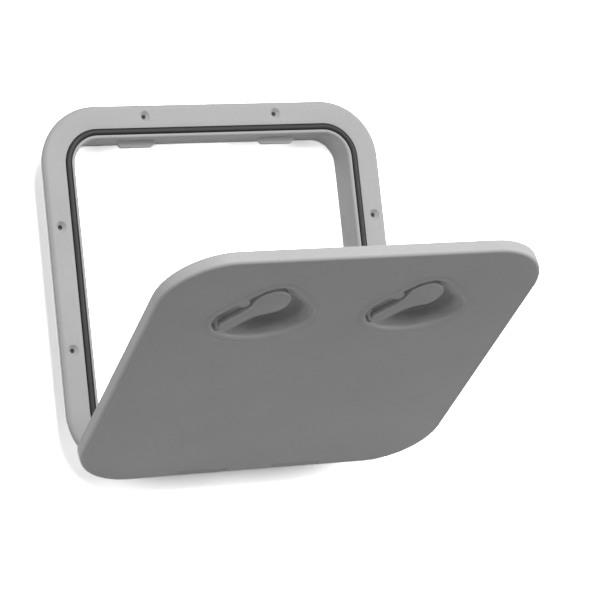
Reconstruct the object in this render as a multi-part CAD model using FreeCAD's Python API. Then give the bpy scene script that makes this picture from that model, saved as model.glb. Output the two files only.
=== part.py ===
"""Floor hatch: a square moulded frame with a seal, and a hinged lid with two turning latches.

Millimetres. The origin is the centre of the frame on the deck plane, which is the underside of the
flange. +Z points up out of the deck, +Y to the latch side and -Y to the hinge side. The lid and all
that it carries are drawn closed, and are then opened about the hinge axis to the stored angle.
"""

import FreeCAD
import Part
import math
import os

V = FreeCAD.Vector
X_AXIS = V(1, 0, 0)
Z_AXIS = V(0, 0, 1)
DIAGONAL = math.sqrt(0.5)
SIDES = {"left": -1.0, "right": 1.0}

# Frame
FRAME_SIZE = 380.0
FRAME_CORNER_R = 62.0
FLANGE_HEIGHT = 6.5
FLANGE_EDGE_R = 5.0
COAMING_WALL = 3.4
COAMING_DEPTH = 33.0
COAMING_LIP_DROP = 0.4
COAMING_LIP_R = 2.4
COAMING_FOOT_R = 1.0

# Seal and its groove
SEAL_INSET = 24.4
SEAL_WIDTH = 7.1
SEAL_PROUD = 1.0
SEAL_BASE_HEIGHT = 1.5
SEAL_CHANNEL = 1.05
SEAL_CROWN_R = 2.4
SEAL_SIDE_CLEARANCE = 0.05
GROOVE_DEPTH = 4.5
GROOVE_SLOPE_WIDTH = 3.5
GROOVE_SLOPE_DROP = 0.8

# Screw holes of the flange
SCREW_INSET = 12.7
END_SCREW_PITCH = 148.0
SIDE_SCREW_PITCH = 128.0
SCREW_HOLE_R = 2.5
COUNTERSINK_R = 6.0
COUNTERSINK_DEPTH = 3.5

# Keeper tabs on the latch-side wall
KEEPER_WIDTH = 41.0
KEEPER_REACH = 7.1
KEEPER_THICKNESS = 4.5
KEEPER_TOP_BELOW_FLANGE = 16.1
KEEPER_CORNER_R = 5.0
KEEPER_EDGE_R = 0.8

# Lid
LID_WIDTH = 397.0
LID_CORNER_R = 67.0
LID_HEIGHT = 13.1
LID_EDGE_R = 3.5
CROWN_INSET = 32.0
CROWN_RISE = 0.5
LID_PLATE = 3.2
LID_SKIRT = 3.0
LID_DECK_GAP = 1.5
LAND_SIDE = 1.5
LAND_CLEARANCE = 0.3
RIB_THICKNESS = 2.4
RIB_DEPTH = 8.4
RIB_PITCH = 48.0
RIBS_EACH_WAY = 6
RIB_END_CLEARANCE = 3.7

# Hinge
AXIS_OUTSIDE_FRAME = 1.5
AXIS_HEIGHT = 8.3
HINGE_LIP = 7.8
KNUCKLE_R = 6.0
KNUCKLE_PITCH = 52.0
KNUCKLE_GAP = 0.8
KNUCKLE_CLEARANCE = 0.5
KNUCKLE_ROOT = 6.0
KNUCKLE_TOE = 1.0
KNUCKLE_TOE_HEIGHT = 4.0
SKIRT_CUT_INSIDE_AXIS = 3.0
SKIRT_CUT_ABOVE_AXIS = 0.5
PIN_R = 2.5
PIN_RUNNING_CLEARANCE = 0.05
PIN_END_CLEARANCE = 0.5
PLUG_HEAD_R = 4.0
PLUG_HEAD_THICKNESS = 1.2
PLUG_SHANK_LENGTH = 6.0

# Latches
LATCH_SPACING = 160.0
LATCH_FROM_EDGE = 71.0
HANDLE_HUB_R = 18.3
HANDLE_ROOT_R = 8.0
HANDLE_TIP_R = 6.7
HANDLE_REACH = 58.6
HANDLE_BLEND_R = 30.0
HANDLE_THICKNESS = 8.0
HANDLE_TOP_EDGE_R = 0.8
HANDLE_BOTTOM_EDGE_R = 2.4
HANDLE_ANGLE = 227.0
HANDLE_FLOAT = 0.3
HANDLE_SOCKET_DEPTH = 4.8
RECESS_R = 24.0
RECESS_ARM = 39.0
RECESS_ARM_ANGLE = 225.0
RECESS_BOTTOM = 60.4
RECESS_DEPTH = 19.0
RECESS_RIM_SPREAD = 3.5
RECESS_RIM_DEPTH = 2.5
RECESS_DRAFT = 4.4
RECESS_FLOOR_SPREAD = 6.0
RECESS_FLOOR_RISE = 5.0
RECESS_LEAN = 1.0
RECESS_WALL = 2.5
SURROUND_WIDTH = 8.7
SURROUND_CREST = 1.4
SURROUND_DEPTH = 0.7
SURROUND_FAR_DEPTH = 0.06
NIB_FROM_PIVOT = 19.8
NIB_WIDTH = 11.5
NIB_REACH = 9.0
NIB_CORNER_R = 5.2
NIB_THICKNESS = 3.5
SPINDLE_R = 5.0
SPINDLE_CLEARANCE = 0.05
SPINDLE_SQUARE = 7.0
BOSS_TOP_R = 15.0
BOSS_R = 10.0
RING_SECTION_R = 1.05
RING_GROOVE_FLOAT = 0.15
RING_DEPTH_IN_BOSS = 5.0
THRUST_WASHER_R = 9.5
THRUST_WASHER_THICKNESS = 1.2
THRUST_CLEARANCE = 0.1
CAM_HUB_R = 9.0
CAM_TIP_R = 7.0
CAM_REACH = 24.0
CAM_THICKNESS = 5.0
CAM_UNDER_KEEPER = 0.4
CAM_EDGE_R = 0.8
CAM_WASHER_R = 7.0
CAM_WASHER_THICKNESS = 1.2
SCREW_R = 2.5
SCREW_HEAD_R = 4.9
SCREW_HEAD_HEIGHT = 3.2
SCREW_SHANK_LENGTH = 16.0
SCREW_SOCKET_R = 2.0
SCREW_SOCKET_DEPTH = 1.8

# Stored pose
OPEN_ANGLE = 65.7

# How far a cutting shape runs past the face that it cuts
OVERRUN = 1.0

# Worked out from the sizes above
FRAME_HALF = FRAME_SIZE / 2
SEAL_OUTER = FRAME_HALF - SEAL_INSET
SEAL_INNER = SEAL_OUTER - SEAL_WIDTH
OPENING_HALF = SEAL_INNER - COAMING_WALL
GROOVE_FLOOR = FLANGE_HEIGHT - GROOVE_DEPTH
LIP_TOP = FLANGE_HEIGHT - COAMING_LIP_DROP
SCREW_LINE = FRAME_HALF - SCREW_INSET
KEEPER_TOP = FLANGE_HEIGHT - KEEPER_TOP_BELOW_FLANGE
KEEPER_BOTTOM = KEEPER_TOP - KEEPER_THICKNESS
AXIS_Y = -FRAME_HALF - AXIS_OUTSIDE_FRAME
LID_HALF = LID_WIDTH / 2
LID_HINGE_EDGE = AXIS_Y - HINGE_LIP
LID_BOTTOM = LID_DECK_GAP
LID_TOP = LID_BOTTOM + LID_HEIGHT
PLATE_UNDERSIDE = LID_TOP - LID_PLATE
SEAL_TOP = FLANGE_HEIGHT + SEAL_PROUD
LATCH_Y = LID_HALF - LATCH_FROM_EDGE
HANDLE_BOTTOM = LID_TOP - HANDLE_THICKNESS
RECESS_FLOOR = LID_TOP - RECESS_DEPTH
CAM_TOP = KEEPER_BOTTOM - CAM_UNDER_KEEPER
CAM_BOTTOM = CAM_TOP - CAM_THICKNESS
BOSS_TOP = HANDLE_BOTTOM - HANDLE_FLOAT
BOSS_BOTTOM = CAM_TOP + THRUST_WASHER_THICKNESS + THRUST_CLEARANCE
RING_MIDDLE = BOSS_TOP - RING_DEPTH_IN_BOSS
PIN_BORE_R = PIN_R + PIN_RUNNING_CLEARANCE
KNUCKLE_LENGTH = KNUCKLE_PITCH - KNUCKLE_GAP
HINGE_END = 2 * KNUCKLE_PITCH + KNUCKLE_LENGTH / 2
PIN_HALF_LENGTH = HINGE_END - PLUG_HEAD_THICKNESS - PLUG_SHANK_LENGTH - PIN_END_CLEARANCE
LID_KNUCKLES = [-2, 0, 2]
FRAME_KNUCKLES = [-1, 1]


def rounded_outline(corners):
    """Closed wire in the XY plane through corners given as (x, y, radius)."""
    points = [V(x, y, 0) for x, y, _ in corners]
    bends = []
    for i, (_, _, radius) in enumerate(corners):
        here = points[i]
        back = (points[i - 1] - here).normalize()
        ahead = (points[(i + 1) % len(points)] - here).normalize()
        if radius:
            half = back.getAngle(ahead) / 2
            reach = radius / math.tan(half)
            middle = here + (back + ahead).normalize() * (radius / math.sin(half) - radius)
            bends.append((here + back * reach, middle, here + ahead * reach))
        else:
            bends.append((here, None, here))
    edges = []
    for i, (start, middle, stop) in enumerate(bends):
        if middle:
            edges.append(Part.Arc(start, middle, stop).toShape())
        following = bends[(i + 1) % len(bends)][0]
        if (following - stop).Length > 1e-6:
            edges.append(Part.LineSegment(stop, following).toShape())
    return Part.Wire(edges)


def prism(wire, bottom, top):
    """Solid of a flat wire between two heights."""
    face = Part.Face(wire)
    face.translate(V(0, 0, bottom - wire.BoundBox.ZMin))
    return face.extrude(V(0, 0, top - bottom))


def box(x_from, x_to, y_from, y_to, z_from, z_to):
    """Solid block between two corners."""
    return Part.makeBox(x_to - x_from, y_to - y_from, z_to - z_from, V(x_from, y_from, z_from))


def disc(radius, bottom, top):
    """Solid cylinder on the Z axis between two heights."""
    return Part.makeCylinder(radius, top - bottom, V(0, 0, bottom))


def x_rod(radius, x_from, x_to):
    """Solid cylinder on the hinge axis."""
    return Part.makeCylinder(radius, x_to - x_from, V(x_from, AXIS_Y, AXIS_HEIGHT), X_AXIS)


def square_ring(corners):
    """Section of (distance from the middle, height, radius) carried round the square frame."""
    section = Part.Face(rounded_outline(corners))
    section.rotate(V(0, 0, 0), X_AXIS, 90)
    straight = FRAME_HALF - FRAME_CORNER_R
    side = section.copy()
    side.translate(V(0, -straight, 0))
    side = side.extrude(V(0, 2 * straight, 0))
    bend = section.copy()
    bend.translate(V(0, straight, 0))
    bend = bend.revolve(V(straight, straight, 0), Z_AXIS, 90)
    pieces = []
    for quarter in range(4):
        for piece in (side, bend):
            turned = piece.copy()
            turned.rotate(V(0, 0, 0), Z_AXIS, 90 * quarter)
            pieces.append(turned)
    return pieces[0].multiFuse(pieces[1:]).removeSplitter()


def edges_at(shape, height, tolerance=1e-4):
    """Edges of a shape that lie wholly at one height."""
    return [e for e in shape.Edges
            if abs(e.BoundBox.ZMin - height) < tolerance and abs(e.BoundBox.ZMax - height) < tolerance]


def knuckle_span(place):
    """Ends along X of the knuckle at a place counted from the middle one."""
    middle = place * KNUCKLE_PITCH
    return middle - KNUCKLE_LENGTH / 2, middle + KNUCKLE_LENGTH / 2


def opened(shape):
    """A closed-lid piece turned to the stored angle."""
    shape = shape.copy()
    shape.rotate(V(0, AXIS_Y, AXIS_HEIGHT), X_AXIS, OPEN_ANGLE)
    return shape


def at_latch(shape, side):
    """A latch piece drawn on the Z axis, moved to the left or right latch."""
    shape = shape.copy()
    shape.translate(V(SIDES[side] * LATCH_SPACING / 2, LATCH_Y, 0))
    return shape


def frame_screw_places():
    """Centres of the eight screw holes, two on each side."""
    places = []
    for end in (-1, 1):
        for way in (-1, 1):
            places.append((way * END_SCREW_PITCH / 2, end * SCREW_LINE))
            places.append((end * SCREW_LINE, way * SIDE_SCREW_PITCH / 2))
    return places


def keeper_tab(side):
    """Moulded tab that a cam turns under, rooted in the latch-side wall."""
    middle = SIDES[side] * LATCH_SPACING / 2
    edge = OPENING_HALF - KEEPER_REACH
    root = OPENING_HALF + COAMING_WALL / 2
    half = KEEPER_WIDTH / 2
    tab = prism(rounded_outline([(middle - half, root, 0), (middle - half, edge, KEEPER_CORNER_R),
                                 (middle + half, edge, KEEPER_CORNER_R), (middle + half, root, 0)]),
                KEEPER_BOTTOM, KEEPER_TOP)
    rim = [e for e in edges_at(tab, KEEPER_TOP) if e.BoundBox.YMin < OPENING_HALF - KEEPER_EDGE_R
           and e.BoundBox.YMax < root]
    return tab.makeFillet(KEEPER_EDGE_R, rim)


def frame_knuckle(place):
    """Knuckle that stands on the outer edge of the flange, with a toe down to the deck."""
    start, stop = knuckle_span(place)
    root, front = AXIS_Y + KNUCKLE_ROOT, AXIS_Y - KNUCKLE_R
    toe = front - KNUCKLE_TOE
    outline = [(root, 0), (toe, 0), (toe, KNUCKLE_TOE_HEIGHT), (front, AXIS_HEIGHT), (root, AXIS_HEIGHT)]
    side = Part.makePolygon([V(start, y, z) for y, z in outline + outline[:1]])
    block = Part.Face(side).extrude(V(stop - start, 0, 0))
    return x_rod(KNUCKLE_R, start, stop).fuse(block)


def frame():
    """Flange, coaming, seal groove, keeper tabs and hinge knuckles in one moulding."""
    slope_start = SEAL_OUTER + GROOVE_SLOPE_WIDTH
    body = square_ring([
        (FRAME_HALF, 0, 0),
        (FRAME_HALF, FLANGE_HEIGHT, FLANGE_EDGE_R),
        (slope_start, FLANGE_HEIGHT, 0),
        (SEAL_OUTER, FLANGE_HEIGHT - GROOVE_SLOPE_DROP, 0),
        (SEAL_OUTER, GROOVE_FLOOR, 0),
        (SEAL_INNER, GROOVE_FLOOR, 0),
        (SEAL_INNER, LIP_TOP, 0),
        (OPENING_HALF, LIP_TOP, COAMING_LIP_R),
        (OPENING_HALF, -COAMING_DEPTH, COAMING_FOOT_R),
        (SEAL_INNER, -COAMING_DEPTH, COAMING_FOOT_R),
        (SEAL_INNER, 0, 0),
    ])
    body = body.multiFuse([keeper_tab(side) for side in SIDES] + [frame_knuckle(p) for p in FRAME_KNUCKLES])
    cuts = [x_rod(PIN_R, -HINGE_END, HINGE_END)]
    for place in LID_KNUCKLES:
        start, stop = knuckle_span(place)
        cuts.append(x_rod(KNUCKLE_R + KNUCKLE_CLEARANCE, start - KNUCKLE_GAP, stop + KNUCKLE_GAP))
    for x, y in frame_screw_places():
        hole = Part.makeCylinder(SCREW_HOLE_R, FLANGE_HEIGHT, V(x, y, 0))
        sink = Part.makeCone(SCREW_HOLE_R, COUNTERSINK_R, COUNTERSINK_DEPTH,
                             V(x, y, FLANGE_HEIGHT - COUNTERSINK_DEPTH))
        cuts += [hole, sink]
    return body.cut(cuts).removeSplitter()


def frame_seal():
    """Rubber ring: a base that fills the groove and a crowned bulb that stands proud of the flange."""
    outer = SEAL_OUTER - SEAL_SIDE_CLEARANCE
    inner = SEAL_INNER + SEAL_SIDE_CLEARANCE
    base_top = GROOVE_FLOOR + SEAL_BASE_HEIGHT
    bulb_outer, bulb_inner = outer - SEAL_CHANNEL, inner + SEAL_CHANNEL
    return square_ring([
        (outer, GROOVE_FLOOR, 0),
        (outer, base_top, 0),
        (bulb_outer, base_top, 0),
        (bulb_outer, SEAL_TOP, SEAL_CROWN_R),
        (bulb_inner, SEAL_TOP, SEAL_CROWN_R),
        (bulb_inner, base_top, 0),
        (inner, base_top, 0),
        (inner, GROOVE_FLOOR, 0),
    ])


def recess_wire(grow, height):
    """Outline of the latch recess about its pivot, grown outwards by a distance.

    Two straight-sided arms at 45 degrees to the hinge line share a round hub, and a shallow arc
    joins their ends.
    """
    radius = RECESS_R + grow
    arm = RECESS_ARM * DIAGONAL
    straight = RECESS_BOTTOM - RECESS_R
    rise = (2 * arm * arm - straight * straight) / (2 * (straight - arm))
    bottom_r = RECESS_BOTTOM + rise + grow
    outward = V(-arm, -arm - rise, 0).normalize()
    left = V(-arm, -arm, height)
    wall_top = V(-radius * DIAGONAL, radius * DIAGONAL, height)
    wall_end = left + V(-radius * DIAGONAL, radius * DIAGONAL, 0)
    corner_middle = left + V(-radius, 0, 0)
    corner_end = left + outward * radius

    def mirrored(point):
        return V(-point.x, point.y, point.z)

    return Part.Wire([
        Part.Arc(mirrored(wall_top), V(0, radius, height), wall_top).toShape(),
        Part.LineSegment(wall_top, wall_end).toShape(),
        Part.Arc(wall_end, corner_middle, corner_end).toShape(),
        Part.Arc(corner_end, V(0, rise - bottom_r, height), mirrored(corner_end)).toShape(),
        Part.Arc(mirrored(corner_end), mirrored(corner_middle), mirrored(wall_end)).toShape(),
        Part.LineSegment(mirrored(wall_end), mirrored(wall_top)).toShape(),
    ])


def recess_section(depth, inset, lower_right, lower_left):
    """Outline of the recess at a depth, made smaller by an inset and moved along its two arms."""
    wire = recess_wire(-inset, LID_TOP - depth)
    wire.translate(V(lower_right - lower_left, -lower_right - lower_left, 0) * DIAGONAL)
    return wire


def recess_wall(wall):
    """Sections of the recess below its rim, for its inside or for its outside a wall further out."""
    side_end = RECESS_DEPTH - RECESS_FLOOR_RISE
    places = [((RECESS_RIM_DEPTH + side_end) / 2, RECESS_DRAFT / 2)]
    for turn in range(0, 91, 30):
        bend = math.radians(turn)
        places.append((RECESS_DEPTH - RECESS_FLOOR_RISE * (1 - math.sin(bend)),
                       RECESS_DRAFT + RECESS_FLOOR_SPREAD * (1 - math.cos(bend))))
    return [recess_section(depth + wall, inset - wall, 0, RECESS_LEAN * inset) for depth, inset in places]


def recess_inside():
    """Space of the recess: a soft rim at the lower right, steep sides and a dished floor."""
    rim = []
    for turn in range(0, 91, 30):
        bend = math.radians(turn)
        spread = RECESS_RIM_SPREAD * (1 - math.sin(bend))
        rim.append(recess_section(RECESS_RIM_DEPTH * (1 - math.cos(bend)), -spread, spread, 0))
    return Part.makeLoft(rim + recess_wall(0), True, False)


def recess_outside():
    """Recess with its wall, as seen from under the lid."""
    top = [recess_section(depth, -RECESS_WALL, 0, 0) for depth in (0, RECESS_RIM_DEPTH)]
    return Part.makeLoft(top + recess_wall(RECESS_WALL), True, False)


def surround_tilt(shape):
    """A shape tilted about the upper left of the surround, so that it rises to the lower right."""
    near = RECESS_R + SURROUND_WIDTH
    span = near + RECESS_ARM + RECESS_R + SURROUND_WIDTH
    rise = math.degrees(math.atan((SURROUND_DEPTH - SURROUND_FAR_DEPTH) / span))
    shape = shape.copy()
    shape.rotate(V(-near * DIAGONAL, near * DIAGONAL, LID_TOP - SURROUND_DEPTH), V(1, 1, 0), -rise)
    return shape


def nib():
    """Rounded stop that stands out of the upper wall of the recess, seen with the hinge below."""
    half = NIB_WIDTH / 2
    root = RECESS_R + RECESS_WALL
    end = RECESS_R - NIB_REACH
    shape = prism(rounded_outline([(NIB_FROM_PIVOT - half, -root, 0), (NIB_FROM_PIVOT + half, -root, 0),
                                   (NIB_FROM_PIVOT + half, -end, NIB_CORNER_R),
                                   (NIB_FROM_PIVOT - half, -end, NIB_CORNER_R)]),
                  LID_TOP - SURROUND_DEPTH - NIB_THICKNESS, LID_TOP - SURROUND_DEPTH / 2)
    shape.rotate(V(0, 0, 0), Z_AXIS, RECESS_ARM_ANGLE)
    return shape


def latch_boss():
    """Post under the handle that carries the spindle down through the recess."""
    return disc(BOSS_TOP_R, RECESS_FLOOR - RECESS_WALL, BOSS_TOP).fuse(disc(BOSS_R, BOSS_BOTTOM, BOSS_TOP))


def spindle_bore():
    """Bore of the boss with the groove for its O-ring."""
    bore_r = SPINDLE_R + SPINDLE_CLEARANCE
    groove_half = RING_SECTION_R + RING_GROOVE_FLOAT
    groove_r = bore_r + 2 * RING_SECTION_R + RING_GROOVE_FLOAT
    return disc(bore_r, BOSS_BOTTOM - OVERRUN, BOSS_TOP + OVERRUN).fuse(
        disc(groove_r, RING_MIDDLE - groove_half, RING_MIDDLE + groove_half))


def lid_outline(inset, height):
    """Outline of the lid, an inset inside its edge, at a height."""
    radius = LID_CORNER_R - inset
    side, hinge = LID_HALF - inset, LID_HINGE_EDGE + inset
    wire = rounded_outline([(-side, hinge, radius), (side, hinge, radius),
                            (side, side, radius), (-side, side, radius)])
    wire.translate(V(0, 0, height))
    return wire


def lid_shell():
    """Plate and skirt of the lid, hollow underneath, with a slightly raised flat field on top."""
    shoulder = LID_TOP - CROWN_RISE
    shell = prism(lid_outline(0, 0), LID_BOTTOM, shoulder)
    crown = Part.makeLoft([lid_outline(0, shoulder), lid_outline(CROWN_INSET, LID_TOP)], True, True)
    shell = shell.fuse(crown).removeSplitter()
    shell = shell.makeFillet(LID_EDGE_R, edges_at(shell, shoulder))
    return shell.cut(prism(lid_outline(LID_SKIRT, 0), LID_BOTTOM - OVERRUN, PLATE_UNDERSIDE))


def lid_ribs():
    """Grid of ribs under the plate, inside the coaming when the lid is shut."""
    reach = OPENING_HALF - RIB_END_CLEARANCE
    ribs = []
    for i in range(RIBS_EACH_WAY):
        middle = (i - (RIBS_EACH_WAY - 1) / 2) * RIB_PITCH
        low, high = middle - RIB_THICKNESS / 2, middle + RIB_THICKNESS / 2
        z_from, z_to = PLATE_UNDERSIDE - RIB_DEPTH, PLATE_UNDERSIDE
        ribs.append(box(low, high, -reach, reach, z_from, z_to))
        ribs.append(box(-reach, reach, low, high, z_from, z_to))
    return ribs


def seal_land():
    """Raised ring under the plate that closes on the seal."""
    outer, inner = SEAL_OUTER + LAND_SIDE, SEAL_INNER - LAND_SIDE
    bottom = SEAL_TOP + LAND_CLEARANCE
    return square_ring([(outer, bottom, 0), (outer, PLATE_UNDERSIDE, 0),
                        (inner, PLATE_UNDERSIDE, 0), (inner, bottom, 0)])


def lid_knuckle(place):
    """Knuckle under the hinge lip of the lid."""
    start, stop = knuckle_span(place)
    root = box(start, stop, AXIS_Y - KNUCKLE_R, AXIS_Y + KNUCKLE_ROOT, AXIS_HEIGHT, PLATE_UNDERSIDE)
    return x_rod(KNUCKLE_R, start, stop).fuse(root)


def hinge_notch(place):
    """Room in the lid round one knuckle of the frame."""
    start, stop = knuckle_span(place)
    start, stop = start - KNUCKLE_GAP, stop + KNUCKLE_GAP
    clear_r = KNUCKLE_R + KNUCKLE_CLEARANCE
    front = box(start, stop, AXIS_Y - 2 * HINGE_LIP, AXIS_Y, AXIS_HEIGHT - clear_r, LID_TOP + OVERRUN)
    return x_rod(clear_r, start, stop).fuse(front)


def lid():
    """Lid moulding: shell, ribs, seal land, two latch recesses and hinge knuckles."""
    solids = [seal_land()] + lid_ribs()
    for side in SIDES:
        solids.append(at_latch(recess_outside(), side))
    body = lid_shell().multiFuse(solids)
    skirt_cut = box(-LID_HALF, LID_HALF, LID_HINGE_EDGE - OVERRUN, AXIS_Y + SKIRT_CUT_INSIDE_AXIS,
                    LID_BOTTOM - OVERRUN, AXIS_HEIGHT + SKIRT_CUT_ABOVE_AXIS)
    above = box(-LID_WIDTH, LID_WIDTH, -LID_WIDTH, LID_WIDTH, LID_TOP, LID_TOP + LID_HEIGHT)
    body = body.cut([skirt_cut, above])
    surround_floor = LID_TOP - SURROUND_DEPTH
    surround = prism(recess_wire(SURROUND_WIDTH, 0), surround_floor, LID_TOP + OVERRUN)
    slope = Part.makeLoft([surround_tilt(recess_wire(SURROUND_WIDTH, surround_floor)),
                           recess_wire(SURROUND_CREST, LID_TOP)], True, True)
    body = body.cut([at_latch(surround_tilt(surround), side) for side in SIDES])
    body = body.multiFuse([at_latch(slope, side) for side in SIDES])
    body = body.cut([at_latch(recess_inside(), side) for side in SIDES])
    fittings = [lid_knuckle(place) for place in LID_KNUCKLES]
    for side in SIDES:
        fittings += [at_latch(nib(), side), at_latch(latch_boss(), side)]
    body = body.multiFuse(fittings)
    cuts = [hinge_notch(place) for place in FRAME_KNUCKLES]
    cuts.append(x_rod(PIN_BORE_R, -HINGE_END - OVERRUN, HINGE_END + OVERRUN))
    head_room = HINGE_END - PLUG_HEAD_THICKNESS
    cuts += [x_rod(PLUG_HEAD_R, -HINGE_END - OVERRUN, -head_room),
             x_rod(PLUG_HEAD_R, head_room, HINGE_END + OVERRUN)]
    cuts += [at_latch(spindle_bore(), side) for side in SIDES]
    return body.cut(cuts).removeSplitter()


def hinge_pin():
    """Stainless pin held in the knuckles of the frame."""
    return x_rod(PIN_R, -PIN_HALF_LENGTH, PIN_HALF_LENGTH)


def hinge_plug(side):
    """Plug that closes one end of the pin bore."""
    way = SIDES[side]
    face = HINGE_END - PLUG_HEAD_THICKNESS
    head = x_rod(PLUG_HEAD_R, min(way * face, way * HINGE_END), max(way * face, way * HINGE_END))
    tip = face - PLUG_SHANK_LENGTH
    shank = x_rod(PIN_BORE_R, min(way * face, way * tip), max(way * face, way * tip))
    return head.fuse(shank).removeSplitter()


def handle_wire():
    """Outline of the handle along +X: round hub, concave blends, tapered arm and round tip."""
    tip_centre = HANDLE_REACH - HANDLE_TIP_R
    lean = math.asin((HANDLE_ROOT_R - HANDLE_TIP_R) / tip_centre)
    normal = V(math.sin(lean), math.cos(lean), 0)
    along = V(math.cos(lean), -math.sin(lean), 0)
    off_line = HANDLE_ROOT_R + HANDLE_BLEND_R
    off_hub = HANDLE_HUB_R + HANDLE_BLEND_R
    centre = normal * off_line + along * math.sqrt(off_hub ** 2 - off_line ** 2)
    on_line = centre - normal * HANDLE_BLEND_R
    on_hub = centre * (HANDLE_HUB_R / off_hub)
    to_hub, to_line = (on_hub - centre), (on_line - centre)
    blend_middle = centre + (to_hub + to_line).normalize() * HANDLE_BLEND_R
    tip_start = V(tip_centre, 0, 0) + normal * HANDLE_TIP_R

    def mirrored(point):
        return V(point.x, -point.y, 0)

    return Part.Wire([
        Part.Arc(mirrored(on_hub), V(-HANDLE_HUB_R, 0, 0), on_hub).toShape(),
        Part.Arc(on_hub, blend_middle, on_line).toShape(),
        Part.LineSegment(on_line, tip_start).toShape(),
        Part.Arc(tip_start, V(HANDLE_REACH, 0, 0), mirrored(tip_start)).toShape(),
        Part.LineSegment(mirrored(tip_start), mirrored(on_line)).toShape(),
        Part.Arc(mirrored(on_line), mirrored(blend_middle), mirrored(on_hub)).toShape(),
    ])


def handle():
    """Flush turning handle with a socket for the spindle."""
    body = prism(handle_wire(), HANDLE_BOTTOM, LID_TOP)
    body = body.makeFillet(HANDLE_TOP_EDGE_R, edges_at(body, LID_TOP))
    body = body.makeFillet(HANDLE_BOTTOM_EDGE_R, edges_at(body, HANDLE_BOTTOM))
    body.rotate(V(0, 0, 0), Z_AXIS, HANDLE_ANGLE)
    return body.cut(disc(SPINDLE_R, HANDLE_BOTTOM - OVERRUN, HANDLE_BOTTOM + HANDLE_SOCKET_DEPTH))


def spindle_square():
    """Square end of the spindle, which the cam fits, with its corners left round."""
    half = SPINDLE_SQUARE / 2
    return box(-half, half, -half, half, CAM_BOTTOM, CAM_TOP).common(disc(SPINDLE_R, CAM_BOTTOM, CAM_TOP))


def latch_spindle():
    """Round spindle with a square end for the cam and a tapped hole for its screw."""
    round_part = disc(SPINDLE_R, CAM_TOP, HANDLE_BOTTOM + HANDLE_SOCKET_DEPTH)
    tapping = disc(SCREW_R, CAM_BOTTOM, CAM_BOTTOM + SCREW_SHANK_LENGTH)
    return round_part.fuse(spindle_square()).cut(tapping)


def spindle_seal():
    """O-ring round the spindle."""
    ring = Part.makeTorus(SPINDLE_R + SPINDLE_CLEARANCE + RING_SECTION_R, RING_SECTION_R)
    ring.translate(V(0, 0, RING_MIDDLE))
    return ring


def thrust_washer():
    """Slip washer between the boss and the cam."""
    top = CAM_TOP + THRUST_WASHER_THICKNESS
    return disc(THRUST_WASHER_R, CAM_TOP, top).cut(disc(SPINDLE_R, CAM_TOP, top))


def latch_cam():
    """Cam that turns under the keeper tab, pointing along +X when the latch is free."""
    tip = CAM_REACH - CAM_TIP_R
    lean = math.asin((CAM_HUB_R - CAM_TIP_R) / tip)
    normal = V(math.sin(lean), math.cos(lean), 0)
    hub_top, tip_top = normal * CAM_HUB_R, V(tip, 0, 0) + normal * CAM_TIP_R
    hub_low, tip_low = V(hub_top.x, -hub_top.y, 0), V(tip_top.x, -tip_top.y, 0)
    wire = Part.Wire([
        Part.Arc(hub_low, V(-CAM_HUB_R, 0, 0), hub_top).toShape(),
        Part.LineSegment(hub_top, tip_top).toShape(),
        Part.Arc(tip_top, V(CAM_REACH, 0, 0), tip_low).toShape(),
        Part.LineSegment(tip_low, hub_low).toShape(),
    ])
    cam = prism(wire, CAM_BOTTOM, CAM_TOP)
    cam = cam.makeFillet(CAM_EDGE_R, edges_at(cam, CAM_TOP) + edges_at(cam, CAM_BOTTOM))
    return cam.cut(spindle_square())


def cam_washer():
    """Washer under the head of the cam screw."""
    bottom = CAM_BOTTOM - CAM_WASHER_THICKNESS
    return disc(CAM_WASHER_R, bottom, CAM_BOTTOM).cut(disc(SCREW_R, bottom, CAM_BOTTOM))


def cam_screw():
    """Screw with a round head and a hexagon socket, driven up into the spindle."""
    head_top = CAM_BOTTOM - CAM_WASHER_THICKNESS
    head_bottom = head_top - SCREW_HEAD_HEIGHT
    head = disc(SCREW_HEAD_R, head_bottom, head_top)
    head = head.makeFillet(SCREW_HEAD_HEIGHT / 2, edges_at(head, head_bottom))
    shank = disc(SCREW_R, head_top, CAM_BOTTOM + SCREW_SHANK_LENGTH)
    turns = [math.radians(60 * corner) for corner in range(6)]
    corners = [(SCREW_SOCKET_R * math.cos(turn), SCREW_SOCKET_R * math.sin(turn), 0) for turn in turns]
    socket = prism(rounded_outline(corners), head_bottom, head_bottom + SCREW_SOCKET_DEPTH)
    return head.fuse(shank).cut(socket)


def build():
    """Every node of the hatch by name, at the stored pose."""
    nodes = {"frame": frame(), "frame_seal": frame_seal(), "hinge_pin": hinge_pin(), "lid": opened(lid())}
    latch_pieces = {"handle": handle(), "latch_spindle": latch_spindle(), "spindle_seal": spindle_seal(),
                    "thrust_washer": thrust_washer(), "latch_cam": latch_cam(),
                    "cam_washer": cam_washer(), "cam_screw": cam_screw()}
    for side in SIDES:
        nodes["hinge_plug_" + side] = opened(hinge_plug(side))
        for name, shape in latch_pieces.items():
            nodes[name + "_" + side] = opened(at_latch(shape, side))
    return nodes


def main():
    """Write one STEP file for each node."""
    os.makedirs("parts", exist_ok=True)
    for name, shape in build().items():
        shape.exportStep("parts/" + name + ".step")
        print(name, "valid" if shape.isValid() else "INVALID", len(shape.Solids), "solid",
              round(shape.Volume / 1000, 2), "cm3")


main()
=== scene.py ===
"""Looks of the floor hatch: finishes, seal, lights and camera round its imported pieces.

Metres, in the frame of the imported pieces: the origin is the centre of the hatch frame on the deck plane,
+Z points up out of the deck and +Y to the latch side. The lid is stored open about the hinge axis, so
each pattern that follows the lid is turned by that angle.
"""

from __future__ import annotations

import logging
import math
from dataclasses import dataclass
from enum import Enum

import bmesh
import bpy
from mathutils import Matrix, Vector

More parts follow.
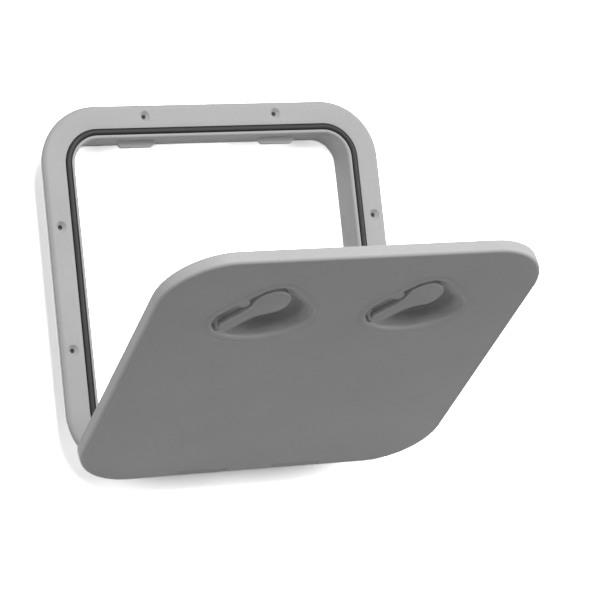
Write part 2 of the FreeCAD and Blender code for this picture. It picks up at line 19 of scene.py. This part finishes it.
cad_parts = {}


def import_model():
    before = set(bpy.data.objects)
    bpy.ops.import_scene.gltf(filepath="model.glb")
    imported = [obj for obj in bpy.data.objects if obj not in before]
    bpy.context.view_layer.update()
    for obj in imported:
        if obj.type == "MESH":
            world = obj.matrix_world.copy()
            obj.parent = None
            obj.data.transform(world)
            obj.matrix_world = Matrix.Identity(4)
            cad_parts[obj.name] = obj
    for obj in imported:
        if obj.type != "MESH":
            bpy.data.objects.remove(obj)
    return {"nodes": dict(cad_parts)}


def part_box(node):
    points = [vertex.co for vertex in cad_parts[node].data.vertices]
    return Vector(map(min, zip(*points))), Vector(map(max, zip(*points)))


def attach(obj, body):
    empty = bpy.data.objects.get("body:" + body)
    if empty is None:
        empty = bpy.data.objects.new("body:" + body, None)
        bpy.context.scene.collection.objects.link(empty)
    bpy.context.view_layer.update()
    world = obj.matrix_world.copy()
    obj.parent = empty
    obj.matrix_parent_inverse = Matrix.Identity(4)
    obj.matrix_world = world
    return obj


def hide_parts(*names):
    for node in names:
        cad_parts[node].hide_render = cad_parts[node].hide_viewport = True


LOG = logging.getLogger("hatch")
MM = 0.001
LID_ANGLE = math.radians(65.7)
SMOOTH_UP_TO = math.radians(28)
SIDES = ("left", "right")
NOISE_LOW = 0.3
NOISE_HIGH = 0.7
WAVE_PHASE = 20


class Grain(Enum):
    """How coarse the texture of a moulded surface is."""

    SPARK = "spark"
    SATIN = "satin"


class Turning(Enum):
    """The direction that the fine lines of a turned piece run round."""

    ALONG_X = "along_x"
    ALONG_LID_NORMAL = "along_lid_normal"


class NodeTree:
    """A small helper that adds and joins the nodes of one material."""

    def __init__(self, name: str) -> None:
        """Start an empty material.

        Args:
            name: Name of the new material.
        """
        self.material = bpy.data.materials.new(name)
        self.material.use_nodes = True
        self.tree = self.material.node_tree
        self.tree.nodes.clear()
        self.output = self.tree.nodes.new("ShaderNodeOutputMaterial")

    def add(self, kind: str, **settings: object) -> bpy.types.Node:
        """Add a node and set its plain attributes.

        Args:
            kind: Class name of the node.
            **settings: Attributes of the node by name.

        Returns:
            The new node.
        """
        node = self.tree.nodes.new(kind)
        for name, value in settings.items():
            setattr(node, name, value)
        return node

    def join(self, source: bpy.types.NodeSocket, target: bpy.types.NodeSocket) -> None:
        """Join an output socket to an input socket."""
        self.tree.links.new(source, target)

    def places(self, angle: float = 0.0) -> bpy.types.NodeSocket:
        """Object coordinates, turned about X.

        Args:
            angle: Angle that the pattern is turned by, in radians.

        Returns:
            The vector socket.
        """
        coordinates = self.add("ShaderNodeTexCoord").outputs["Object"]
        if not angle:
            return coordinates
        mapping = self.add("ShaderNodeMapping", vector_type="TEXTURE")
        mapping.inputs["Rotation"].default_value = (angle, 0.0, 0.0)
        self.join(coordinates, mapping.inputs["Vector"])
        return mapping.outputs["Vector"]

    def noise(self, places: bpy.types.NodeSocket, size: float, detail: float = 2.0,
              roughness: float = 0.5) -> bpy.types.NodeSocket:
        """Noise whose spots have about a given size.

        Args:
            places: Vector socket of the coordinates.
            size: Size of a spot in metres.
            detail: Octaves of the noise.
            roughness: Share that each finer octave has.

        Returns:
            The factor socket.
        """
        node = self.add("ShaderNodeTexNoise")
        node.inputs["Scale"].default_value = 1.0 / size
        node.inputs["Detail"].default_value = detail
        node.inputs["Roughness"].default_value = roughness
        self.join(places, node.inputs["Vector"])
        return node.outputs["Fac"]

    def spread(self, value: bpy.types.NodeSocket, low: float, high: float, to_low: float,
               to_high: float) -> bpy.types.NodeSocket:
        """Map a range of values to another one.

        Args:
            value: Socket of the value.
            low: Value that becomes to_low.
            high: Value that becomes to_high.
            to_low: Result at low.
            to_high: Result at high.

        Returns:
            The result socket.
        """
        node = self.add("ShaderNodeMapRange", clamp=True)
        for name, number in (("From Min", low), ("From Max", high), ("To Min", to_low), ("To Max", to_high)):
            node.inputs[name].default_value = number
        self.join(value, node.inputs["Value"])
        return node.outputs["Result"]

    def product(self, first: bpy.types.NodeSocket, second: bpy.types.NodeSocket) -> bpy.types.NodeSocket:
        """Product of two values.

        Args:
            first: Socket of one value.
            second: Socket of the other value.

        Returns:
            The product socket.
        """
        node = self.add("ShaderNodeMath", operation="MULTIPLY")
        self.join(first, node.inputs[0])
        self.join(second, node.inputs[1])
        return node.outputs["Value"]

    def tinted(self, colour: tuple[float, float, float],
               factor: bpy.types.NodeSocket) -> bpy.types.NodeSocket:
        """A colour scaled by a value that varies over the surface.

        Args:
            colour: Linear colour.
            factor: Socket of the value.

        Returns:
            The colour socket.
        """
        node = self.add("ShaderNodeVectorMath", operation="SCALE")
        node.inputs[0].default_value = colour
        self.join(factor, node.inputs["Scale"])
        return node.outputs["Vector"]

    def bump(self, height: bpy.types.NodeSocket, depth: float) -> bpy.types.NodeSocket:
        """Normal of a surface with relief.

        Args:
            height: Socket of the relief from 0 to 1.
            depth: Depth of the relief in metres.

        Returns:
            The normal socket.
        """
        node = self.add("ShaderNodeBump")
        node.inputs["Strength"].default_value = 1.0
        node.inputs["Distance"].default_value = depth
        self.join(height, node.inputs["Height"])
        return node.outputs["Normal"]

    def principled(self, roughness: float, metallic: float = 0.0, specular: float = 0.5) -> bpy.types.Node:
        """Add the main shader and join it to the output.

        Args:
            roughness: Roughness where nothing is joined to it.
            metallic: 1 for bare metal.
            specular: Strength of the plain reflection.

        Returns:
            The shader node.
        """
        shader = self.add("ShaderNodeBsdfPrincipled")
        shader.inputs["Roughness"].default_value = roughness
        shader.inputs["Metallic"].default_value = metallic
        shader.inputs["Specular IOR Level"].default_value = specular
        self.join(shader.outputs["BSDF"], self.output.inputs["Surface"])
        return shader


@dataclass(frozen=True)
class MouldingFinish:
    """Light grey moulded plastic with a fine even grain."""

    name: str
    colour: tuple[float, float, float]
    grain: Grain
    angle: float = 0.0
    grain_size: float = 0.55 * MM
    grain_depth: float = 0.03 * MM
    fleck_size: float = 1.4 * MM
    fleck_spread: tuple[float, float] = (0.955, 1.045)
    cloud_size: float = 70 * MM
    cloud_spread: tuple[float, float] = (0.975, 1.02)
    spark_roughness: float = 0.62
    satin_roughness: float = 0.5
    satin_share: float = 0.4
    patch_size: float = 9 * MM

    def material(self) -> bpy.types.Material:
        """Build the material.

        Returns:
            The new material.
        """
        tree = NodeTree(self.name)
        depth, rough = {Grain.SPARK: (self.grain_depth, self.spark_roughness),
                        Grain.SATIN: (self.grain_depth * self.satin_share, self.satin_roughness)}[self.grain]
        places = tree.places(self.angle)
        shader = tree.principled(rough, specular=0.4)
        fleck = tree.spread(tree.noise(places, self.fleck_size, 3.0, 0.7), NOISE_LOW, NOISE_HIGH,
                            *self.fleck_spread)
        cloud = tree.spread(tree.noise(places, self.cloud_size, 3.0), NOISE_LOW, NOISE_HIGH,
                            *self.cloud_spread)
        tree.join(tree.tinted(self.colour, tree.product(fleck, cloud)), shader.inputs["Base Color"])
        patches = tree.noise(places, self.patch_size, 3.0)
        tree.join(tree.spread(patches, NOISE_LOW, NOISE_HIGH, rough - 0.05, rough + 0.06),
                  shader.inputs["Roughness"])
        grain = tree.noise(places, self.grain_size, 3.0, 0.6)
        tree.join(tree.bump(grain, depth), shader.inputs["Normal"])
        return tree.material


@dataclass(frozen=True)
class RubberFinish:
    """Black rubber with a faint bloom."""

    name: str
    colour: tuple[float, float, float] = (0.04, 0.04, 0.041)
    bloom_size: float = 6 * MM
    grain_size: float = 0.3 * MM
    grain_depth: float = 0.02 * MM

    def material(self) -> bpy.types.Material:
        """Build the material.

        Returns:
            The new material.
        """
        tree = NodeTree(self.name)
        places = tree.places()
        shader = tree.principled(0.6, specular=0.5)
        bloom = tree.spread(tree.noise(places, self.bloom_size, 4.0, 0.6), 0.35, 0.75, 0.8, 1.35)
        tree.join(tree.tinted(self.colour, bloom), shader.inputs["Base Color"])
        patches = tree.noise(places, self.bloom_size, 3.0)
        tree.join(tree.spread(patches, NOISE_LOW, NOISE_HIGH, 0.5, 0.7), shader.inputs["Roughness"])
        grain = tree.noise(places, self.grain_size, 2.0)
        tree.join(tree.bump(grain, self.grain_depth), shader.inputs["Normal"])
        return tree.material


@dataclass(frozen=True)
class SteelFinish:
    """Turned stainless steel with fine lines round its axis."""

    name: str
    turning: Turning
    colour: tuple[float, float, float] = (0.56, 0.555, 0.545)
    line_pitch: float = 0.22 * MM
    line_depth: float = 0.004 * MM

    def material(self) -> bpy.types.Material:
        """Build the material.

        Returns:
            The new material.
        """
        tree = NodeTree(self.name)
        along_x = self.turning is Turning.ALONG_X
        places = tree.places(0.0 if along_x else LID_ANGLE)
        shader = tree.principled(0.28, metallic=1.0)
        lines = tree.add("ShaderNodeTexWave", wave_type="BANDS", bands_direction="X" if along_x else "Z")
        lines.inputs["Scale"].default_value = math.tau / WAVE_PHASE / self.line_pitch
        lines.inputs["Distortion"].default_value = 1.5
        lines.inputs["Detail"].default_value = 2.0
        tree.join(places, lines.inputs["Vector"])
        tree.join(tree.bump(lines.outputs["Fac"], self.line_depth), shader.inputs["Normal"])
        smear = tree.noise(places, 4 * MM, 4.0)
        tree.join(tree.spread(smear, NOISE_LOW, NOISE_HIGH, 0.22, 0.4), shader.inputs["Roughness"])
        shade = tree.spread(smear, NOISE_LOW, NOISE_HIGH, 0.92, 1.05)
        tree.join(tree.tinted(self.colour, shade), shader.inputs["Base Color"])
        return tree.material


@dataclass(frozen=True)
class NylonFinish:
    """Plain or glass-filled nylon, slightly clear at its edges when it is pale."""

    name: str
    colour: tuple[float, float, float]
    clearness: float
    fibre_size: float = 0.8 * MM
    fibre_depth: float = 0.015 * MM

    def material(self) -> bpy.types.Material:
        """Build the material.

        Returns:
            The new material.
        """
        tree = NodeTree(self.name)
        places = tree.places(LID_ANGLE)
        shader = tree.principled(0.45)
        shader.inputs["Subsurface Weight"].default_value = self.clearness
        shader.inputs["Subsurface Radius"].default_value = (1.0, 0.9, 0.75)
        shader.inputs["Subsurface Scale"].default_value = MM
        fibre = tree.noise(places, self.fibre_size, 4.0, 0.7)
        shade = tree.spread(fibre, NOISE_LOW, 0.75, 0.85, 1.15)
        tree.join(tree.tinted(self.colour, shade), shader.inputs["Base Color"])
        tree.join(tree.bump(fibre, self.fibre_depth), shader.inputs["Normal"])
        return tree.material


def smooth_by_angle(work: bmesh.types.BMesh) -> None:
    """Shade a mesh smooth, with its sharp edges kept.

    Args:
        work: Mesh under edit, with its doubles merged.
    """
    for face in work.faces:
        face.smooth = True
        face.material_index = 0
    for edge in work.edges:
        edge.smooth = len(edge.link_faces) == 2 and edge.calc_face_angle(math.pi) < SMOOTH_UP_TO


def hand_over(mesh: bpy.types.Mesh, node: str, body: str) -> bpy.types.Object:
    """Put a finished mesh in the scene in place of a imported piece.

    Args:
        mesh: The finished mesh, with its material.
        node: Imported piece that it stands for.
        body: Body that it moves with.

    Returns:
        The new object.
    """
    piece = bpy.data.objects.new(mesh.name, mesh)
    bpy.context.scene.collection.objects.link(piece)
    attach(piece, body)
    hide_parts(node)
    LOG.info("%s: %d faces on %s", piece.name, len(mesh.polygons), body)
    return piece


@dataclass
class CarriedPiece:
    """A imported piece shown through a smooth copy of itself."""

    node: str
    body: str
    slot: str
    material: bpy.types.Material
    weld: float = 0.002 * MM

    def dress(self) -> bpy.types.Object:
        """Copy the piece's mesh, smooth it and let the copy stand for the piece.

        Returns:
            The new object.
        """
        source = FRAME["nodes"][self.node]
        mesh = source.data.copy()
        mesh.name = self.node + "_finished"
        mesh.materials.clear()
        mesh.materials.append(self.material)
        work = bmesh.new()
        work.from_mesh(mesh)
        bmesh.ops.remove_doubles(work, verts=work.verts, dist=self.weld)
        bmesh.ops.dissolve_degenerate(work, edges=work.edges, dist=self.weld)
        smooth_by_angle(work)
        work.to_mesh(mesh)
        work.free()
        return hand_over(mesh, self.node, self.body)


class GeometryTree:
    """A small helper that builds a geometry node tree with named inputs."""

    def __init__(self, name: str) -> None:
        """Start a tree with an input node and an output node.

        Args:
            name: Name of the new tree.
        """
        self.group = bpy.data.node_groups.new(name, "GeometryNodeTree")
        self.group.interface.new_socket("Geometry", in_out="OUTPUT", socket_type="NodeSocketGeometry")
        self.inputs = self.group.nodes.new("NodeGroupInput")
        self.result = self.group.nodes.new("NodeGroupOutput")
        self.settings: dict[str, object] = {}

    def setting(self, name: str, kind: str, value: object) -> bpy.types.NodeSocket:
        """Add a named input of the tree.

        Args:
            name: Name of the input.
            kind: Class name of its socket.
            value: Value that the modifier gives it.

        Returns:
            The output socket of the input node that carries it.
        """
        socket = self.group.interface.new_socket(name, in_out="INPUT", socket_type=kind)
        self.settings[socket.identifier] = value
        return self.inputs.outputs[name]

    def length(self, name: str, value: float) -> bpy.types.NodeSocket:
        """Add a named length, in metres."""
        return self.setting(name, "NodeSocketFloat", value)

    def node(self, kind: str, feeds: dict[str | int, object] | None = None,
             **settings: object) -> bpy.types.Node:
        """Add a node, set its plain attributes and feed its sockets.

        Args:
            kind: Class name of the node.
            feeds: Socket or plain value for each input, by name or index.
            **settings: Attributes of the node by name.

        Returns:
            The new node.
        """
        node = self.group.nodes.new(kind)
        for name, value in settings.items():
            setattr(node, name, value)
        for key, feed in (feeds or {}).items():
            if isinstance(feed, bpy.types.NodeSocket):
                self.group.links.new(feed, node.inputs[key])
            else:
                node.inputs[key].default_value = feed
        return node

    def sum(self, first: object, second: object, operation: str = "ADD") -> bpy.types.NodeSocket:
        """Result of one step of arithmetic."""
        return self.node("ShaderNodeMath", {0: first, 1: second}, operation=operation).outputs["Value"]

    def by_index(self, values: list[object]) -> bpy.types.NodeSocket:
        """Field that gives each point its own value, in order.

        Args:
            values: Socket or plain number for each point.

        Returns:
            The value socket.
        """
        switch = self.node("GeometryNodeIndexSwitch", data_type="FLOAT")
        while len(switch.index_switch_items) < len(values):
            switch.index_switch_items.new()
        index = self.node("GeometryNodeInputIndex")
        self.group.links.new(index.outputs["Index"], switch.inputs["Index"])
        for place, value in enumerate(values, start=1):
            if isinstance(value, bpy.types.NodeSocket):
                self.group.links.new(value, switch.inputs[place])
            else:
                switch.inputs[place].default_value = value
        return switch.outputs["Output"]

    def finish(self, geometry: bpy.types.NodeSocket, material: bpy.types.Material) -> bpy.types.Mesh:
        """End the tree, run it on an empty object and take its result as a plain mesh.

        Args:
            geometry: Socket of the finished geometry.
            material: Material of all its faces.

        Returns:
            The new mesh.
        """
        finish = self.setting("Finish", "NodeSocketMaterial", material)
        real = self.node("GeometryNodeRealizeInstances", {"Geometry": geometry}).outputs["Geometry"]
        dressed = self.node("GeometryNodeSetMaterial", {"Geometry": real, "Material": finish})
        self.group.links.new(dressed.outputs["Geometry"], self.result.inputs["Geometry"])
        holder = bpy.data.objects.new(self.group.name, bpy.data.meshes.new(self.group.name))
        modifier = holder.modifiers.new(self.group.name, "NODES")
        modifier.node_group = self.group
        for identifier, value in self.settings.items():
            modifier[identifier] = value
        bpy.context.scene.collection.objects.link(holder)
        evaluated = holder.evaluated_get(bpy.context.evaluated_depsgraph_get())
        mesh = bpy.data.meshes.new_from_object(evaluated)
        holder.modifiers.remove(modifier)
        bpy.data.objects.remove(holder)
        return mesh


@dataclass
class SealRing:
    """The black seal: a base in its groove and a crowned bulb, swept round the square frame."""

    material: bpy.types.Material
    node: str = "frame_seal"
    corner_radius: float = 37.55 * MM
    width: float = 7.0 * MM
    base_height: float = 1.5 * MM
    channel: float = 1.05 * MM
    crown_radius: float = 2.4 * MM
    root_radius: float = 0.35 * MM
    corner_steps: int = 40
    section_steps: int = 8

    def section(self, tree: GeometryTree, height: float) -> bpy.types.NodeSocket:
        """Section of the seal as a closed curve, with its round edges.

        Its heights are negative, because the sweep with upright normals turns the section over.

        Args:
            tree: Tree that it is built in.
            height: Height of the whole seal.

        Returns:
            The curve socket.
        """
        base = tree.length("Base Half Width", self.width / 2)
        bulb = tree.length("Bulb Half Width", self.width / 2 - self.channel)
        low = tree.length("Base Height", self.base_height)
        top = tree.length("Height", height)
        crown = tree.length("Crown Radius", self.crown_radius)
        root = tree.length("Root Radius", self.root_radius)
        steps = tree.setting("Section Steps", "NodeSocketInt", self.section_steps)
        base_far, bulb_far = tree.sum(base, -1.0, "MULTIPLY"), tree.sum(bulb, -1.0, "MULTIPLY")
        across = tree.by_index([base, base, bulb, bulb, bulb_far, bulb_far, base_far, base_far])
        heights = [0.0, low, low, top, top, low, low, 0.0]
        down = tree.sum(tree.by_index(heights), -1.0, "MULTIPLY")
        radius = tree.by_index([0.0, 0.0, root, crown, crown, root, 0.0, 0.0])
        corners = tree.node("GeometryNodeMeshLine", {"Count": len(heights)}).outputs["Mesh"]
        place = tree.node("ShaderNodeCombineXYZ", {"X": across, "Y": down}).outputs["Vector"]
        placed = tree.node("GeometryNodeSetPosition", {"Geometry": corners, "Position": place})
        line = tree.node("GeometryNodeMeshToCurve", {"Mesh": placed.outputs["Geometry"]})
        closed = tree.node("GeometryNodeSetSplineCyclic",
                           {"Geometry": line.outputs["Curve"], "Cyclic": True})
        rounded = tree.node("GeometryNodeFilletCurve", {"Curve": closed.outputs["Geometry"], "Count": steps,
                                                        "Radius": radius}, mode="POLY")
        return rounded.outputs["Curve"]

    def build(self) -> bpy.types.Object:
        """Sweep the section round the frame.

        Returns:
            The new object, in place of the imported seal.
        """
        low, high = (Vector(corner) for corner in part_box(self.node))
        tree = GeometryTree("seal_ring")
        size = tree.length("Size", high.x - low.x)
        corner = tree.length("Corner Radius", self.corner_radius)
        bottom = tree.length("Bottom", low.z)
        steps = tree.setting("Corner Steps", "NodeSocketInt", self.corner_steps)
        width = tree.length("Width", self.width)
        middle = tree.sum(size, width, "SUBTRACT")
        square = tree.node("GeometryNodeCurvePrimitiveQuadrilateral", {"Width": middle, "Height": middle})
        bend = tree.sum(corner, tree.sum(width, 2.0, "DIVIDE"), "SUBTRACT")
        path = tree.node("GeometryNodeFilletCurve", {"Curve": square.outputs["Curve"], "Count": steps,
                                                     "Radius": bend}, mode="POLY")
        upright = tree.node("GeometryNodeSetCurveNormal", {"Curve": path.outputs["Curve"]}, mode="Z_UP")
        swept = tree.node("GeometryNodeCurveToMesh", {"Curve": upright.outputs["Curve"],
                                                      "Profile Curve": self.section(tree, high.z - low.z)})
        lift = tree.node("ShaderNodeCombineXYZ", {"Z": bottom}).outputs["Vector"]
        raised = tree.node("GeometryNodeTransform", {"Geometry": swept.outputs["Mesh"], "Translation": lift})
        mesh = tree.finish(raised.outputs["Geometry"], self.material)
        mesh.name = self.node + "_swept"
        work = bmesh.new()
        work.from_mesh(mesh)
        bmesh.ops.recalc_face_normals(work, faces=work.faces)
        smooth_by_angle(work)
        work.to_mesh(mesh)
        work.free()
        return hand_over(mesh, self.node, "frame")


@dataclass
class FrameAssembly:
    """The fixed part of the hatch: frame moulding, seal and hinge pin."""

    colour: tuple[float, float, float] = (0.565, 0.565, 0.565)

    def build(self) -> None:
        """Dress the three fixed pieces."""
        moulding = MouldingFinish("frame_grain", self.colour, Grain.SPARK).material()
        CarriedPiece("frame", "frame", "frame_moulding", moulding).dress()
        SealRing(RubberFinish("seal_black").material()).build()
        CarriedPiece("hinge_pin", "frame", "stainless",
                     SteelFinish("pin_steel", Turning.ALONG_X).material()).dress()


@dataclass
class LidAssembly:
    """The lid moulding, the plugs of its hinge and the rings sealed in its bosses."""

    # Same plastic as the frame, but set lighter than the frame's colour: painted light that makes up for the
    # dimmer light on the open lid's face.
    colour: tuple[float, float, float] = (0.63, 0.63, 0.63)

    def build(self) -> None:
        """Dress the lid's pieces."""
        moulding = MouldingFinish("lid_grain_painted_light", self.colour, Grain.SATIN, LID_ANGLE).material()
        CarriedPiece("lid", "lid", "lid_moulding", moulding).dress()
        ring = RubberFinish("ring_black").material()
        for side in SIDES:
            CarriedPiece("hinge_plug_" + side, "lid", "lid_moulding", moulding).dress()
            CarriedPiece("spindle_seal_" + side, "lid", "seal_rubber", ring).dress()


@dataclass
class Latches:
    """Both turning latches: handle, spindle, washers, cam and screw."""

    handle_colour: tuple[float, float, float] = (0.61, 0.61, 0.61)

    def build(self) -> None:
        """Dress the pieces of the two latches."""
        steel = SteelFinish("latch_steel", Turning.ALONG_LID_NORMAL).material()
        finishes = {
            "handle": ("latch_handle", MouldingFinish("handle_grain", self.handle_colour, Grain.SATIN,
                                                      LID_ANGLE).material()),
            "latch_spindle": ("stainless", steel),
            "thrust_washer": ("nylon", NylonFinish("washer_nylon", (0.72, 0.7, 0.64), 0.25).material()),
            "latch_cam": ("cam_plastic", NylonFinish("cam_black", (0.035, 0.035, 0.037), 0.0).material()),
            "cam_washer": ("stainless", steel),
            "cam_screw": ("stainless", steel),
        }
        for side in SIDES:
            for piece, (slot, material) in finishes.items():
                CarriedPiece(f"{piece}_{side}", f"latch_{side}", slot, material).dress()


@dataclass(frozen=True)
class Lamp:
    """One square lamp that faces the hatch."""

    name: str
    place: tuple[float, float, float]
    size: float
    power: float

    def build(self) -> None:
        """Hang the lamp."""
        data = bpy.data.lights.new(self.name, "AREA")
        data.size = self.size
        data.energy = self.power
        lamp = bpy.data.objects.new(self.name, data)
        lamp.location = self.place
        lamp.rotation_euler = Vector(self.place).to_track_quat("Z", "Y").to_euler()
        bpy.context.scene.collection.objects.link(lamp)


@dataclass
class Studio:
    """Floor, dark strips under the flange that put painted shade into the screw holes, lamps, world and
    camera.
    """

    lamps: tuple[Lamp, ...] = (
        Lamp("far_high", (0.0, 1.09, 3.0), 0.8, 22.5),
        Lamp("far_low", (0.0, 1.87, 3.0), 0.8, 36.0),
        Lamp("left", (-2.6, 0.2, 1.6), 1.5, 18.0),
        Lamp("right", (2.6, 0.2, 1.6), 1.5, 36.0),
        Lamp("near", (-0.1, -0.9, 0.25), 0.5, 0.25),
    )
    floor_drop: float = 0.3 * MM
    floor_size: float = 30.0
    floor_colour: float = 0.8
    floor_seen_colour: float = 4.0
    # Dark grey strips under the flange: painted shade seen through the screw holes.
    deck_shade_colour: float = 0.2
    shade_strip_inner: float = 160 * MM
    shade_strip_outer: float = 188 * MM
    shade_strip_reach: float = 140 * MM
    camera_place: tuple[float, float, float] = (-1.1205, -0.38935, 2.7068)
    camera_right: tuple[float, float, float] = (0.91385, -0.10658, 0.39182)
    camera_up: tuple[float, float, float] = (0.04863, 0.98672, 0.15498)
    camera_lens: float = 169.07
    sensor: float = 36.0
    camera_reach: float = 100.0
    world_level: float = 0.05

    def build(self) -> None:
        """Set the whole stage."""
        self.floor()
        self.deck()
        for lamp in self.lamps:
            lamp.build()
        self.world()
        self.camera()

    def floor(self) -> None:
        """A pale floor under the coaming, white to the camera where nothing shades it."""
        tree = NodeTree("floor_white")
        diffuse = tree.add("ShaderNodeBsdfDiffuse")
        seen = tree.add("ShaderNodeLightPath").outputs["Is Camera Ray"]
        shade = tree.spread(seen, 0.0, 1.0, self.floor_colour, self.floor_seen_colour)
        tree.join(shade, diffuse.inputs["Color"])
        tree.join(diffuse.outputs["BSDF"], tree.output.inputs["Surface"])
        half = self.floor_size / 2
        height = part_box("frame")[0][2] - self.floor_drop
        mesh = bpy.data.meshes.new("floor")
        corners = [(-half, -half), (half, -half), (half, half), (-half, half)]
        mesh.from_pydata([(x, y, height) for x, y in corners], [], [(0, 1, 2, 3)])
        mesh.materials.append(tree.material)
        floor = bpy.data.objects.new("floor", mesh)
        bpy.context.scene.collection.objects.link(floor)

    def deck(self) -> None:
        """Dark grey strips at the deck plane under the flange's sides, seen only through the screw holes:
        painted shade in the holes.
        """
        tree = NodeTree("deck_painted_shade")
        diffuse = tree.add("ShaderNodeBsdfDiffuse")
        # Dark grey colour of the strips: painted shade for the screw holes.
        diffuse.inputs["Color"].default_value = (*[self.deck_shade_colour] * 3, 1.0)
        tree.join(diffuse.outputs["BSDF"], tree.output.inputs["Surface"])
        strip = [(across, along, -self.floor_drop) for across, along in (
            (self.shade_strip_inner, -self.shade_strip_reach), (self.shade_strip_outer, -self.shade_strip_reach),
            (self.shade_strip_outer, self.shade_strip_reach), (self.shade_strip_inner, self.shade_strip_reach))]
        places = [Matrix.Rotation(math.radians(90 * side), 3, "Z") @ Vector(corner)
                  for side in range(4) for corner in strip]
        mesh = bpy.data.meshes.new("deck")
        mesh.from_pydata(places, [], [tuple(range(4 * side, 4 * side + 4)) for side in range(4)])
        mesh.materials.append(tree.material)
        deck = bpy.data.objects.new("deck", mesh)
        bpy.context.scene.collection.objects.link(deck)

    def world(self) -> None:
        """Even grey light all round, white where the camera or a reflection sees it."""
        world = bpy.data.worlds.new("studio_air")
        world.use_nodes = True
        bpy.context.scene.world = world
        nodes, links = world.node_tree.nodes, world.node_tree.links
        nodes.clear()
        output = nodes.new("ShaderNodeOutputWorld")
        background = nodes.new("ShaderNodeBackground")
        path = nodes.new("ShaderNodeLightPath")
        seen = nodes.new("ShaderNodeMath")
        seen.operation = "MAXIMUM"
        links.new(path.outputs["Is Camera Ray"], seen.inputs[0])
        links.new(path.outputs["Is Glossy Ray"], seen.inputs[1])
        seen_all = nodes.new("ShaderNodeMath")
        seen_all.operation = "MAXIMUM"
        links.new(seen.outputs["Value"], seen_all.inputs[0])
        links.new(path.outputs["Is Transmission Ray"], seen_all.inputs[1])
        level = nodes.new("ShaderNodeMapRange")
        level.inputs["To Min"].default_value = self.world_level
        level.inputs["To Max"].default_value = 1.0
        links.new(seen_all.outputs["Value"], level.inputs["Value"])
        links.new(level.outputs["Result"], background.inputs["Strength"])
        links.new(background.outputs["Background"], output.inputs["Surface"])

    def camera(self) -> None:
        """The camera at the photograph's place."""
        data = bpy.data.cameras.new("camera")
        data.lens = self.camera_lens
        data.sensor_width = self.sensor
        data.clip_end = self.camera_reach
        camera = bpy.data.objects.new("camera", data)
        right, up = Vector(self.camera_right), Vector(self.camera_up)
        turn = Matrix((right, up, right.cross(up))).transposed()
        camera.matrix_world = Matrix.Translation(self.camera_place) @ turn.to_4x4()
        bpy.context.scene.collection.objects.link(camera)
        bpy.context.scene.camera = camera


def main() -> None:
    """Build the dressed hatch and its studio in order."""
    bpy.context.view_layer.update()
    bpy.context.scene.view_settings.view_transform = "Standard"
    for assembly in (Studio(), FrameAssembly(), LidAssembly(), Latches()):
        assembly.build()
        LOG.info("%s is built", type(assembly).__name__)


if __name__ == "__main__":
    logging.basicConfig(level=logging.INFO, format="%(name)s: %(message)s")
    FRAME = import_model()
    main()
